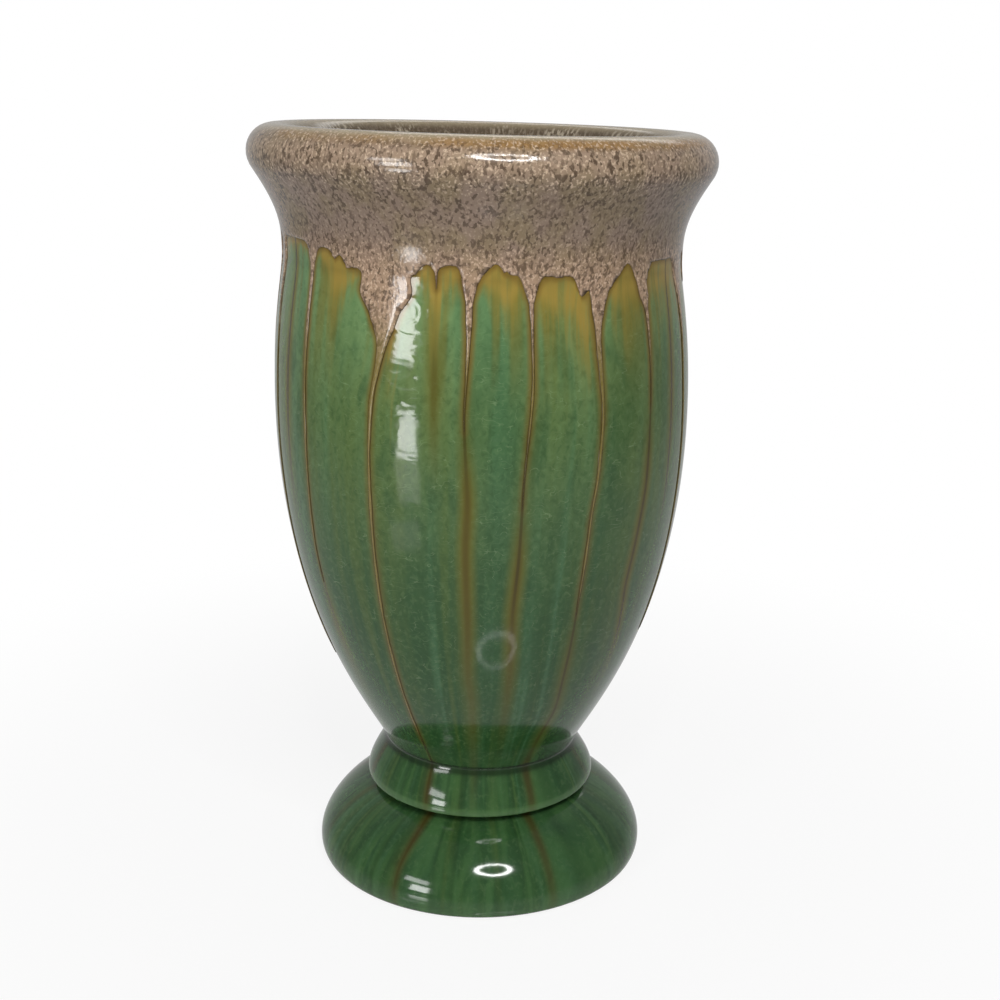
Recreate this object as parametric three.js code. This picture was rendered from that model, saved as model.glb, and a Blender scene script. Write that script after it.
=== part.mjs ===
// A pottery vase: a deep bowl with a rolled rim, joined to a collar and a hollow foot.
// A green glaze covers the outside, and a brown drip glaze runs down from the rim.
// Millimetres, +Z up, with the origin on the table under the middle of the foot.
import * as THREE from 'three';

// Heights, stacked from the table up, and drops, measured down from the top of the rim
const totalHeight = 280;
const footHeight = 29.3;
const throatHeight = 1.2;
const collarHeight = 17.2;
const neckDrop = 44;
const bellyDrop = 99;

// Radii of the glazed outside
const rimRadius = 83.3;
const rimRollRadius = 9.7;
const neckRadius = 71.6;
const bellyRadius = 76.3;
const grooveRadius = 37.5;
const collarRadius = 44.7;
const throatRadius = 37.4;
const footRadius = 64.1;
const restRadius = 61.9;

// How far each curve of the outside holds its direction before it bends
const grooveFlareAngle = 23;
const grooveHold = 13.5;
const bellyHoldBelow = 81;
const bellyHoldAbove = 32;
const neckHoldBelow = 7;
const neckHoldAbove = 9;
const rimUndercutAngle = 33;
const rimUndercutHold = 17;
const collarTopHold = 3;
const collarTopFlare = 0.6;
const collarBulgeHold = 5;
const collarBulgeHeight = 1.8;
const footShoulderHold = 9.8;
const footSkirtHold = 11;
const footEdgeHeight = 4.7;

// Clay
const wallThickness = 7;
const floorThickness = 9;
const floorFlatRadius = 12;
const floorRoundHeight = 13;
const floorRoundHold = 15;
const boreRadius = 27;
const footWallThickness = 8;
const footRingWidth = 8;
const slipThickness = 0.9;
const bowlLeanAngle = 1.08;

// Glaze coats, with the gap that lies between two layers
const coatThickness = 0.5;
const layerGap = 0.3;
const glazeStopHeight = 1.2;

// Drip glaze: the edge of the coat and the runs below it
const dripDepthInside = 34;
const dripDepthOutside = 46;
const dripEdgeRipple = 1.2;
const funnelDepth = 17;
const funnelHalfAngle = 5.5;
const runHalfWidth = 1.3;
const runTaperLength = 9;

// Each run's place round the vase, in degrees from the front towards +X, and how far it gets:
// 0 stays at the coat's edge, 1 reaches the groove
const drips = [
  { azimuth: -51.5, reach: 0.6 },
  { azimuth: -28.5, reach: 0.94 },
  { azimuth: -11, reach: 0.05 },
  { azimuth: -3, reach: 0.86 },
  { azimuth: 11.5, reach: 0.75 },
  { azimuth: 31, reach: 0.87 },
  { azimuth: 49, reach: 0.56 },
  { azimuth: 67, reach: 0.72 },
  { azimuth: 81, reach: 0.06 },
  { azimuth: 94, reach: 0.9 },
  { azimuth: 112, reach: 0.5 },
  { azimuth: 131, reach: 0.82 },
  { azimuth: 148, reach: 0.11 },
  { azimuth: 163, reach: 0.95 },
  { azimuth: 182, reach: 0.64 },
  { azimuth: 203, reach: 0.84 },
  { azimuth: 221, reach: 0.08 },
  { azimuth: 237, reach: 0.76 },
  { azimuth: 256, reach: 0.91 },
  { azimuth: 274, reach: 0.52 },
  { azimuth: 291, reach: 0.79 },
];

// Facets
const roundSegments = 32;
const dripColumns = 64;
const sideSteps = 13;
const flareSteps = 4;
const underRollSteps = 2;
const overRollSteps = 4;
const taperSteps = 3;

const layerStep = coatThickness + layerGap;
const collarBottom = footHeight + throatHeight;
const grooveHeight = collarBottom + collarHeight;
const floorHeight = grooveHeight + floorThickness;
const neckHeight = totalHeight - neckDrop;
const bellyHeight = totalHeight - bellyDrop;
const jointHalf = slipThickness / 2 + layerGap;

const radians = THREE.MathUtils.degToRad;
const at = (radius, height) => new THREE.Vector2(radius, height);
const bend = (start, leaving, arriving, end) => new THREE.CubicBezierCurve(start, leaving, arriving, end);

// The glazed outside of the bowl, from the groove up to the rim

const groovePoint = at(grooveRadius, grooveHeight);
const bellyPoint = at(bellyRadius, bellyHeight);
const neckPoint = at(neckRadius, neckHeight);
const rollRadius = rimRollRadius - layerStep;
const rollCentre = at(rimRadius - rimRollRadius, totalHeight - rimRollRadius);
const undercut = radians(rimUndercutAngle);
const rollStart = at(
  rollCentre.x + rollRadius * Math.cos(undercut),
  rollCentre.y - rollRadius * Math.sin(undercut),
);
const rollInside = at(rollCentre.x - rollRadius, rollCentre.y);

const lowerSide = bend(
  groovePoint,
  at(
    grooveRadius + grooveHold * Math.sin(radians(grooveFlareAngle)),
    grooveHeight + grooveHold * Math.cos(radians(grooveFlareAngle)),
  ),
  at(bellyRadius, bellyHeight - bellyHoldBelow),
  bellyPoint,
);
const upperSide = bend(
  bellyPoint,
  at(bellyRadius, bellyHeight + bellyHoldAbove),
  at(neckRadius, neckHeight - neckHoldBelow),
  neckPoint,
);
const neckFlare = bend(
  neckPoint,
  at(neckRadius, neckHeight + neckHoldAbove),
  at(
    rollStart.x - rimUndercutHold * Math.sin(undercut),
    rollStart.y - rimUndercutHold * Math.cos(undercut),
  ),
  rollStart,
);
const rollArc = (from, to) => (
  new THREE.EllipseCurve(rollCentre.x, rollCentre.y, rollRadius, rollRadius, from, to)
);
const underRoll = rollArc(-undercut, 0);
const outerRoll = rollArc(0, Math.PI / 2);
const innerRoll = rollArc(Math.PI / 2, Math.PI);
const innerNeckPoint = at(neckRadius - wallThickness, neckHeight);
const innerNeck = bend(
  rollInside,
  at(rollInside.x, (rollInside.y + neckHeight) / 2),
  at(innerNeckPoint.x, (rollInside.y + neckHeight) / 2),
  innerNeckPoint,
);

// Lines run up the outside, over the rim and down the inside, so their right side is open air

// Joins lists of points and drops the repeated point where two of them meet
function joinLines(...lines) {
  const joined = [];
  for (const point of lines.flat()) {
    const last = joined.at(-1);
    if (!last || last.distanceTo(point) > layerGap / 10) joined.push(point);
  }
  return joined;
}

// Moves a line sideways, outwards where distance is positive, with mitred corners
function offsetLine(line, distance) {
  return line.map((here, index) => {
    const before = line[Math.max(index - 1, 0)];
    const after = line[Math.min(index + 1, line.length - 1)];
    const leaving = after.clone().sub(index < line.length - 1 ? here : before).normalize();
    const arriving = here.clone().sub(index > 0 ? before : here).normalize();
    if (index === 0) arriving.copy(leaving);
    const mitre = at(arriving.y + leaving.y, -arriving.x - leaving.x).normalize();
    const reach = distance / (mitre.x * leaving.y - mitre.y * leaving.x);
    return here.clone().addScaledVector(mitre, reach);
  });
}

// Tilts the bowl a little out of level: full tilt above the groove, none below the collar
function leanHeight(x, height) {
  const share = THREE.MathUtils.smoothstep(height, footHeight, grooveHeight);
  return height - x * share * Math.tan(radians(bowlLeanAngle));
}

function leanGeometry(geometry) {
  const position = geometry.getAttribute('position');
  for (let index = 0; index < position.count; index += 1) {
    position.setZ(index, leanHeight(position.getX(index), position.getZ(index)));
  }
  return geometry;
}

function revolve(line) {
  const geometry = new THREE.LatheGeometry(line, roundSegments);
  geometry.rotateX(Math.PI / 2);
  return leanGeometry(geometry);
}

function closeLoop(line) {
  return [...line, line[0].clone()];
}

// A coat lies between its open face and the same line moved towards the clay
function coatLoop(face) {
  return closeLoop([...face, ...offsetLine(face, -coatThickness).reverse()]);
}

// The way: distance down the outside from the rim's top, negative down the inside.
// One straight band holds the drip coat's whole wavy edge, so that it lies flat on the green glaze
const sidePath = new THREE.CurvePath();
[lowerSide, upperSide, neckFlare].forEach((curve) => sidePath.add(curve));
const rollWay = rollRadius * (Math.PI / 2 + undercut);
const grooveWay = rollWay + sidePath.getLength();
const bandTop = dripDepthOutside - 3 * dripEdgeRipple;
const bandBottom = dripDepthOutside + funnelDepth + 3 * dripEdgeRipple;

// Points of the bowl's side between two ways, the lower one first
function sidePoints(lower, upper, steps) {
  return Array.from({ length: steps + 1 }, (unused, step) => {
    const way = THREE.MathUtils.lerp(lower, upper, step / steps);
    return sidePath.getPoint((grooveWay - way) / sidePath.getLength());
  });
}

const bowlSide = joinLines(
  sidePoints(grooveWay, bandBottom, sideSteps),
  sidePoints(bandBottom, bandTop, 1),
);
const bowlOutside = joinLines(
  bowlSide,
  sidePoints(bandTop, rollWay, flareSteps),
  underRoll.getPoints(underRollSteps),
  outerRoll.getPoints(overRollSteps),
);

// The inside follows the outside at the wall's thickness, then rounds into a flat floor
const innerSide = offsetLine(bowlSide, -wallThickness)
  .reverse()
  .slice(1)
  .filter((point) => point.y > floorHeight + floorRoundHeight);
const wallFoot = innerSide.at(-1);
const wallFootDirection = wallFoot.clone().sub(innerSide.at(-2)).normalize();
const floorRound = bend(
  wallFoot,
  wallFoot.clone().addScaledVector(wallFootDirection, floorRoundHold),
  at(floorFlatRadius + floorRoundHold, floorHeight),
  at(floorFlatRadius, floorHeight),
);
const bowlInside = joinLines(
  innerRoll.getPoints(overRollSteps),
  innerNeck.getPoints(2),
  innerSide,
  floorRound.getPoints(4),
  [at(0, floorHeight)],
);

// The glazed outside of the foot and the collar

const footSkirt = bend(
  at(footRadius, footEdgeHeight),
  at(footRadius, footEdgeHeight + footSkirtHold),
  at(throatRadius + footShoulderHold, footHeight),
  at(throatRadius, footHeight),
);
const footEdge = new THREE.EllipseCurve(
  restRadius,
  footEdgeHeight,
  footRadius - restRadius,
  footEdgeHeight,
  -Math.asin((footEdgeHeight - glazeStopHeight) / footEdgeHeight),
  0,
);
const collarBulge = at(collarRadius, collarBottom + collarBulgeHeight);
const collarUnderside = new THREE.EllipseCurve(
  throatRadius,
  collarBulge.y,
  collarRadius - throatRadius,
  collarBulgeHeight,
  -Math.PI / 2,
  0,
);
const collarShoulder = bend(
  collarBulge,
  at(collarRadius, collarBulge.y + collarBulgeHold),
  at(grooveRadius + collarTopFlare, grooveHeight - collarTopHold),
  groovePoint,
);
const footOutside = joinLines(footEdge.getPoints(2), footSkirt.getPoints(6));
const collarOutside = joinLines(collarUnderside.getPoints(3), collarShoulder.getPoints(5));
const wholeOutside = joinLines(footOutside, collarOutside, bowlOutside);

// Clay pieces

function bowlShape() {
  const outside = offsetLine(bowlOutside, -layerStep).slice(1);
  const inside = offsetLine(bowlInside, -layerStep);
  const underside = grooveHeight + jointHalf;
  inside.at(-1).setX(0);
  return revolve(joinLines(
    [at(0, underside), at(grooveRadius - layerStep, underside)],
    outside,
    inside,
  ));
}

function collarShape() {
  const neckOfClay = throatRadius - layerStep;
  const outside = offsetLine(joinLines(footOutside, collarOutside), -layerStep)
    .slice(footOutside.length, -1);
  const bottom = collarBottom - throatHeight / 2 + jointHalf;
  const top = grooveHeight - jointHalf;
  return revolve(closeLoop([
    at(boreRadius, bottom),
    at(neckOfClay, bottom),
    ...outside,
    at(grooveRadius - layerStep, top),
    at(boreRadius, top),
  ]));
}

function footShape() {
  const outside = offsetLine(joinLines(footOutside, collarOutside), -layerStep)
    .slice(0, footOutside.length);
  const top = collarBottom - throatHeight / 2 - jointHalf;
  const ringOutside = restRadius - layerStep;
  const ringInside = ringOutside - footRingWidth;
  const hollowTop = footHeight - footWallThickness;
  const hollow = bend(
    at(boreRadius, hollowTop),
    at(boreRadius + footShoulderHold, hollowTop),
    at(ringInside, footSkirtHold),
    at(ringInside, 0),
  );
  return revolve(closeLoop([
    at(ringOutside, 0),
    ...outside,
    at(throatRadius - layerStep, top),
    at(boreRadius, top),
    ...hollow.getPoints(5),
  ]));
}

// A flat ring of joining slip between two clay faces
function slipShape(height, radius) {
  const outside = radius - layerStep - layerGap;
  const low = height - slipThickness / 2;
  const high = height + slipThickness / 2;
  return revolve(closeLoop([
    at(boreRadius, low),
    at(outside, low),
    at(outside, high),
    at(boreRadius, high),
  ]));
}

// Glaze coats

// The green and liner coats each stop half a gap short of the rim's top
function clearOfCrest(line, side) {
  const crest = line[side === 'end' ? line.length - 1 : 0];
  const direction = side === 'end' ? 1 : -1;
  crest.setX(crest.x + direction * layerGap / 2);
  return line;
}

function greenGlazeShape() {
  const face = wholeOutside.map((point) => point.clone());
  return revolve(coatLoop(clearOfCrest(face, 'end')));
}

function linerGlazeShape() {
  const face = clearOfCrest(bowlInside.map((point) => point.clone()), 'start');
  const back = offsetLine(face, -coatThickness);
  back.at(-1).setX(0);
  return revolve([...back.reverse(), ...face]);
}

// Radius of the faceted pieces at an azimuth in radians, as a share of their radius at a corner
function facetShare(azimuth) {
  const half = Math.PI / roundSegments;
  return Math.cos(half) / Math.cos(THREE.MathUtils.euclideanModulo(azimuth, 2 * half) - half);
}

// The glazed face from the groove over the rim to the floor, with the way of each of its points
const faceLine = joinLines(bowlOutside, bowlInside);
const faceWays = [];
faceLine.forEach((point, index) => {
  faceWays.push(index ? faceWays[index - 1] - point.distanceTo(faceLine[index - 1]) : 0);
});
const crestWay = faceWays[bowlOutside.length - 1];
faceWays.forEach((way, index) => {
  faceWays[index] = way - crestWay;
});
const outerLine = offsetLine(faceLine, layerStep);
const innerLine = offsetLine(faceLine, layerGap);

// A point of a line over the glazed face, at an azimuth in radians and a way
function overFace(line, azimuth, way) {
  const next = faceWays.findIndex((other) => other <= way);
  const share = (faceWays[next - 1] - way) / (faceWays[next - 1] - faceWays[next]);
  const place = line[next - 1].clone().lerp(line[next], share);
  const radius = place.x * facetShare(azimuth);
  return [radius * Math.sin(azimuth), -radius * Math.cos(azimuth), place.y];
}

const columnStep = 360 / dripColumns;
const columnOf = (azimuth) => Math.floor(THREE.MathUtils.euclideanModulo(azimuth, 360) / columnStep);

// The coat's lower edge waves a little and is drawn down into a funnel at each run
function edgeWay(degrees) {
  const ripple = dripEdgeRipple * (Math.sin(radians(5 * degrees)) + Math.cos(radians(11 * degrees)));
  const funnels = drips.map((drip) => {
    const middle = (columnOf(drip.azimuth) + 0.5) * columnStep;
    const away = THREE.MathUtils.euclideanModulo(degrees - middle + 180, 360) - 180;
    const pull = (1 + Math.min(2 * drip.reach, 1)) / 2;
    return pull * funnelDepth * Math.exp(-((away / funnelHalfAngle) ** 2));
  });
  return dripDepthOutside + ripple + Math.max(...funnels);
}

// Ways of a run's rows: close together where it narrows, then at each bend of the face below
function runWays(start, reach) {
  const end = THREE.MathUtils.lerp(start, grooveWay, reach);
  const bends = faceWays.filter((way) => way > start + runHalfWidth && way < end - runHalfWidth);
  const taper = Array.from({ length: taperSteps }, (unused, step) => start + (step + 1) * runTaperLength)
    .filter((way) => way < end - runHalfWidth)
    .filter((way) => bends.every((other) => Math.abs(other - way) > runHalfWidth));
  return [...bends, ...taper, end].sort((one, other) => one - other);
}

function dripGlazeShape() {
  const positions = [];
  const faces = [];
  const addPoint = (line, azimuth, way) => {
    positions.push(...overFace(line, azimuth, way));
    return positions.length / 3 - 1;
  };
  const addQuad = (a, b, c, d) => faces.push(a, b, c, a, c, d);

  // Each column's outer face runs up and over the rim, and its inner face lies a coat below
  const bends = faceWays.filter((way) => way < bandTop + layerGap && way > -dripDepthInside);
  const columns = [];
  for (let column = 0; column < dripColumns; column += 1) {
    const azimuth = radians(column * columnStep);
    const ways = [edgeWay(column * columnStep), ...bends, -dripDepthInside];
    columns.push({
      outer: ways.map((way) => addPoint(outerLine, azimuth, way)),
      inner: ways.map((way) => addPoint(innerLine, azimuth, way)),
    });
  }
  const runAt = new Map(drips.map((drip) => [columnOf(drip.azimuth), drip]));
  columns.forEach(({ outer, inner }, column) => {
    const next = columns[(column + 1) % dripColumns];
    const last = outer.length - 1;
    for (let row = 0; row < last; row += 1) {
      addQuad(outer[row], next.outer[row], next.outer[row + 1], outer[row + 1]);
      addQuad(inner[row], inner[row + 1], next.inner[row + 1], next.inner[row]);
    }
    addQuad(outer[last], next.outer[last], next.inner[last], inner[last]);
    if (!runAt.has(column)) addQuad(inner[0], next.inner[0], next.outer[0], outer[0]);
  });

  // A run starts as wide as its column and narrows to a thin bead, which stays on one flat facet
  runAt.forEach((drip, column) => {
    const left = columns[column];
    const right = columns[(column + 1) % dripColumns];
    const middle = (column + 0.5) * columnStep;
    const towards = THREE.MathUtils.euclideanModulo(drip.azimuth - middle + 180, 360) - 180;
    const start = Math.max(edgeWay(column * columnStep), edgeWay((column + 1) * columnStep));
    const rootHalfWidth = neckRadius * radians(columnStep) / 2;
    let ring = [left.outer[0], right.outer[0], right.inner[0], left.inner[0]];
    runWays(start, drip.reach).forEach((way) => {
      const settled = 1 - Math.exp((start - way) / runTaperLength);
      const halfWidth = THREE.MathUtils.lerp(rootHalfWidth, runHalfWidth, settled);
      const halfAngle = Math.min(halfWidth / bellyRadius, radians(columnStep / 2));
      const room = radians(columnStep / 2) - halfAngle;
      const azimuth = radians(middle) + THREE.MathUtils.clamp(radians(towards * settled), -room, room);
      const lower = [
        addPoint(outerLine, azimuth - halfAngle, way),
        addPoint(outerLine, azimuth + halfAngle, way),
        addPoint(innerLine, azimuth + halfAngle, way),
        addPoint(innerLine, azimuth - halfAngle, way),
      ];
      for (let side = 0; side < 4; side += 1) {
        const following = (side + 1) % 4;
        addQuad(lower[side], lower[following], ring[following], ring[side]);
      }
      ring = lower;
    });
    addQuad(ring[3], ring[2], ring[1], ring[0]);
  });

  const geometry = new THREE.BufferGeometry();
  geometry.setAttribute('position', new THREE.Float32BufferAttribute(positions, 3));
  geometry.setIndex(faces);
  geometry.computeVertexNormals();
  return leanGeometry(geometry);
}

// Assembly

const clay = { color: 0xc4ab8a, roughness: 0.9, metalness: 0 };
const slip = { color: 0xb49a78, roughness: 0.95, metalness: 0 };
const greenGlaze = { color: 0x567b4e, roughness: 0.1, metalness: 0 };
const dripGlaze = { color: 0x8f7b6b, roughness: 0.12, metalness: 0 };
const linerGlaze = { color: 0x4c6443, roughness: 0.12, metalness: 0 };

const vase = new THREE.Group();

function addPiece(name, geometry, finish) {
  const mesh = new THREE.Mesh(geometry, new THREE.MeshStandardMaterial(finish));
  mesh.name = name;
  vase.add(mesh);
}

addPiece('foot', footShape(), clay);
addPiece('foot_joining_slip', slipShape(collarBottom - throatHeight / 2, throatRadius), slip);
addPiece('collar', collarShape(), clay);
addPiece('bowl_joining_slip', slipShape(grooveHeight, grooveRadius), slip);
addPiece('bowl', bowlShape(), clay);
addPiece('green_glaze', greenGlazeShape(), greenGlaze);
addPiece('liner_glaze', linerGlazeShape(), linerGlaze);
addPiece('drip_glaze', dripGlazeShape(), dripGlaze);

export default vase;
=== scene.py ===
from math import pi, radians

import bmesh
import bpy
import numpy as np
from mathutils import Matrix, Vector


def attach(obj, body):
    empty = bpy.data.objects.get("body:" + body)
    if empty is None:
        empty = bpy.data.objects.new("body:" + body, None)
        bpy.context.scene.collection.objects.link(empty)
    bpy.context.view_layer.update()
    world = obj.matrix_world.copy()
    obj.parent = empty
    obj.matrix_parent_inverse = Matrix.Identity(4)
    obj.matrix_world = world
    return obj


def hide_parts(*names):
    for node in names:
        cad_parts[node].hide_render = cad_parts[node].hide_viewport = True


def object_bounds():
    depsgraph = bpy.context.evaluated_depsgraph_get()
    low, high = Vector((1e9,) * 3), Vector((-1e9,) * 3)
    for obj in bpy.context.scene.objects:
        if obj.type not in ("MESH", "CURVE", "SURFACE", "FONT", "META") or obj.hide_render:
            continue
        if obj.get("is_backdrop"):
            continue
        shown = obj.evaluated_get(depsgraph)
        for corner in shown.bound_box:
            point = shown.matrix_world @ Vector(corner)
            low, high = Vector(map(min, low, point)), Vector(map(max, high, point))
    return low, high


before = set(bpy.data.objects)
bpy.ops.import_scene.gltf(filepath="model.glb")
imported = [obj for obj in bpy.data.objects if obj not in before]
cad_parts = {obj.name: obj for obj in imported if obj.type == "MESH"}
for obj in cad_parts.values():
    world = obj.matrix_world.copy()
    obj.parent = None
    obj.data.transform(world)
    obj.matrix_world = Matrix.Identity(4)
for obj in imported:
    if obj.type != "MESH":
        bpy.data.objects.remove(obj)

cad_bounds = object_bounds()

# The foot
# On the real vase this is a flared ring of stoneware clay, thrown on a wheel and hollow underneath.
# Only the ring that it stands on and the hollow are bare clay, sponged smooth before the firing.

# Sizes are in millimetres and degrees. The clay lies a layer's step behind the glazed face
foot_height = 29.3
foot_radius = 64.1
foot_edge_height = 4.7
rest_radius = 61.9
skirt_hold = 11.0
shoulder_hold = 9.8
throat_radius = 37.4
throat_height = 1.2
bore_radius = 27.0
foot_wall = 8.0
foot_ring_width = 8.0
glaze_stop_angle = 48
coat_thickness = 0.5
layer_step = 0.8
joint_half = 0.75
ring_rounding = 0.7
bore_bevel = 0.5
smooth_columns = 192
# The bowl's lean begins at the foot's top and is whole at the groove above the collar
collar_height = 17.2
groove_height = foot_height + throat_height + collar_height
lean_angle = 1.08


def bend(start, leaving, arriving, end, steps):
    """Cubic Bezier curve: its four points weighted by (1-t)^3, 3t(1-t)^2, 3t^2(1-t) and t^3."""
    t = np.linspace(0, 1, steps + 1)[:, None]
    weights = np.hstack([(1 - t) ** 3, 3 * t * (1 - t) ** 2, 3 * t ** 2 * (1 - t), t ** 3])
    return weights @ np.array([start, leaving, arriving, end], float)


def arc(centre, radii, first, last, steps):
    """Part of an ellipse: centre + (rx cos a, rz sin a), with a from first to last in degrees."""
    a = np.radians(np.linspace(first, last, steps + 1))
    return np.array(centre) + np.stack([radii[0] * np.cos(a), radii[1] * np.sin(a)], axis=1)


def join(*lines):
    """One line from several that meet, without the points that repeat."""
    line = np.vstack(lines)
    fresh = np.linalg.norm(np.diff(line, axis=0), axis=1) > 1e-3
    return line[np.append(True, fresh)]


def line_normals(line):
    """Unit normals on the right of a line: its slope (dr, dz) turned to (dz, -dr)."""
    slope = np.gradient(line, axis=0)
    slope /= np.linalg.norm(slope, axis=1)[:, None]
    return np.stack([slope[:, 1], -slope[:, 0]], axis=1)


def offset(line, distance):
    """A line moved along its own normals, outwards where distance is positive."""
    return line + distance * line_normals(line)


def smoothstep(low, high, value):
    """Eases from 0 to 1 between low and high: 3t^2 - 2t^3."""
    t = np.clip((value - low) / (high - low), 0, 1)
    return t * t * (3 - 2 * t)


def lean(points):
    """Tilts the bowl a little: z falls by x times the tangent of the lean, eased in over the collar."""
    x, y, z = np.moveaxis(points, -1, 0)
    tilt = np.tan(radians(lean_angle)) * smoothstep(foot_height, groove_height, z)
    return np.stack([x, y, z - x * tilt], axis=-1)


def turn(line, columns=smooth_columns):
    """Turns (radius, height) points about Z: (r sin a, -r cos a, z), one column for each angle a."""
    a = np.linspace(0, 2 * pi, columns, endpoint=False)[:, None]
    radius, height = line.T
    x = radius * np.sin(a)
    return np.stack([x, -radius * np.cos(a), height + 0 * x], axis=-1)


def grid_faces(columns, rows, closed):
    """Quads of a grid that goes round in columns, and in rows too if closed, facing right of the line."""
    column = np.arange(columns)[:, None]
    row = np.arange(rows if closed else rows - 1)
    beside = (column + 1) % columns * rows
    above = (row + 1) % rows
    here = column * rows
    return np.stack([here + row, beside + row, beside + above, here + above], axis=-1).reshape(-1, 4)


def add_mesh(name, points, faces, finish, values=()):
    """A smooth mesh object from points in millimetres, with its poles merged and its named point values:
    places where they are the flow, and plain numbers otherwise."""
    mesh = bpy.data.meshes.new(name)
    mesh.from_pydata(points.reshape(-1, 3) / 1000, [], faces)
    for label, numbers in dict(values).items():
        kind, field = ("FLOAT_VECTOR", "vector") if label == "flow" else ("FLOAT", "value")
        layer = mesh.attributes.new(label, kind, "POINT")
        layer.data.foreach_set(field, numbers.ravel())
    merged = bmesh.new()
    merged.from_mesh(mesh)
    bmesh.ops.remove_doubles(merged, verts=merged.verts, dist=1e-7)
    merged.to_mesh(mesh)
    merged.free()
    mesh.shade_smooth()
    mesh.materials.append(finish)
    piece = bpy.data.objects.new(name, mesh)
    bpy.context.scene.collection.objects.link(piece)
    return piece


def linear(code):
    """An sRGB hex colour as linear RGBA: c / 12.92 below 0.04045, else ((c + 0.055) / 1.055)^2.4."""
    c = np.array([int(code[start:start + 2], 16) for start in (1, 3, 5)]) / 255
    return (*np.where(c <= 0.04045, c / 12.92, ((c + 0.055) / 1.055) ** 2.4).tolist(), 1.0)


def new_finish(name):
    """An empty material and its node tree."""
    finish = bpy.data.materials.new(name)
    finish.use_nodes = True
    finish.node_tree.nodes.clear()
    return finish, finish.node_tree


def add_node(tree, kind, inputs=(), out=0, **settings):
    """Adds a node with its settings, links or sets its inputs by name or place, and returns an output."""
    node = tree.nodes.new(kind)
    for name, value in settings.items():
        setattr(node, name, value)
    sockets = [socket for socket in node.inputs if socket.enabled]
    for key, value in dict(inputs).items():
        socket = sockets[key] if isinstance(key, int) else next(s for s in sockets if s.name == key)
        if isinstance(value, bpy.types.NodeSocket):
            tree.links.new(value, socket)
        else:
            socket.default_value = value
    outputs = [socket for socket in node.outputs if socket.enabled]
    if not outputs:
        return node
    return outputs[out] if isinstance(out, int) else next(s for s in outputs if s.name == out)


clay_cloud = 18


def clay_finish(name, pale, dark, grit):
    """Bare stoneware, fired and matt: sand grains of the given size in mm in a warm buff body."""
    finish, tree = new_finish(name)
    place = add_node(tree, "ShaderNodeTexCoord", out="Object")
    grains = add_node(tree, "ShaderNodeTexNoise", {
        "Vector": place, "Scale": 1000 / grit, "Detail": 3.0, "Roughness": 0.6})
    clouds = add_node(tree, "ShaderNodeTexNoise", {
        "Vector": place, "Scale": 1000 / clay_cloud, "Detail": 2.0})
    sand = add_node(tree, "ShaderNodeMapRange", {"Value": grains, "From Min": 0.36, "From Max": 0.6})
    body = add_node(tree, "ShaderNodeMix", {"Factor": sand, "A": linear(dark), "B": linear(pale)},
                    data_type="RGBA")
    shade = add_node(tree, "ShaderNodeMapRange", {
        "Value": clouds, "From Min": 0.3, "From Max": 0.7, "To Min": 0.86, "To Max": 1.06})
    toned = add_node(tree, "ShaderNodeVectorMath", {0: body, "Scale": shade}, operation="SCALE")
    bump = add_node(tree, "ShaderNodeBump", {"Strength": 0.7, "Distance": 0.0002, "Height": grains})
    shader = add_node(tree, "ShaderNodeBsdfPrincipled", {
        "Base Color": toned, "Roughness": 0.9, "Normal": bump})
    add_node(tree, "ShaderNodeOutputMaterial", {"Surface": shader})
    return finish


foot_edge = arc(
    (rest_radius, foot_edge_height), (foot_radius - rest_radius, foot_edge_height), -glaze_stop_angle, 0, 6)
foot_skirt = bend(
    (foot_radius, foot_edge_height),
    (foot_radius, foot_edge_height + skirt_hold),
    (throat_radius + shoulder_hold, foot_height),
    (throat_radius, foot_height),
    32,
)
foot_face = join(foot_edge, foot_skirt)


def foot_outline():
    """The clay's section: flat resting ring, glazed side, flat top, bore and the curve of the hollow."""
    top = foot_height + throat_height / 2 - joint_half
    ring_outside = rest_radius - layer_step
    ring_inside = ring_outside - foot_ring_width
    hollow_top = foot_height - foot_wall
    side = offset(foot_face, -layer_step)
    return join(
        arc((ring_inside + ring_rounding, ring_rounding), (ring_rounding, ring_rounding), 180, 270, 4),
        arc((ring_outside - ring_rounding, ring_rounding), (ring_rounding, ring_rounding), -90, -20, 4),
        side[side[:, 1] < top],
        [(throat_radius - layer_step, top), (bore_radius + bore_bevel, top)],
        [(bore_radius, top - bore_bevel)],
        bend((bore_radius, hollow_top), (bore_radius + shoulder_hold, hollow_top),
             (ring_inside, skirt_hold), (ring_inside, ring_rounding), 20)[:-1],
    )


clay = clay_finish("bare_stoneware_clay", "#C6AD8C", "#9C8160", grit=0.7)
foot_line = foot_outline()
foot = add_mesh(
    "foot_body", lean(turn(foot_line)), grid_faces(smooth_columns, len(foot_line), closed=True), clay)
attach(foot, "root")
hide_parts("foot")

# The two layers of joining slip
# Liquid clay between foot and collar and between collar and bowl, which holds the thrown sections together.
# They are thin flat rings inside the joints, so the frame's own shapes stay and get the slip's finish.

joining_slip = clay_finish("fired_joining_slip", "#B59C7B", "#8D7454", grit=0.4)
for node_name in ("foot_joining_slip", "bowl_joining_slip"):
    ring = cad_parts[node_name]
    ring.data.materials.clear()
    ring.data.materials.append(joining_slip)

# The collar
# A ring of the same clay with a rounded bulge, set between foot and bowl to thicken the stem.
# It is bare only in its bore, which shows through the hollow foot.

collar_radius = 44.7
collar_bulge_height = 1.8
collar_bulge_hold = 5.0
collar_top_hold = 3.0
collar_top_flare = 0.6
groove_radius = 37.5

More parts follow.
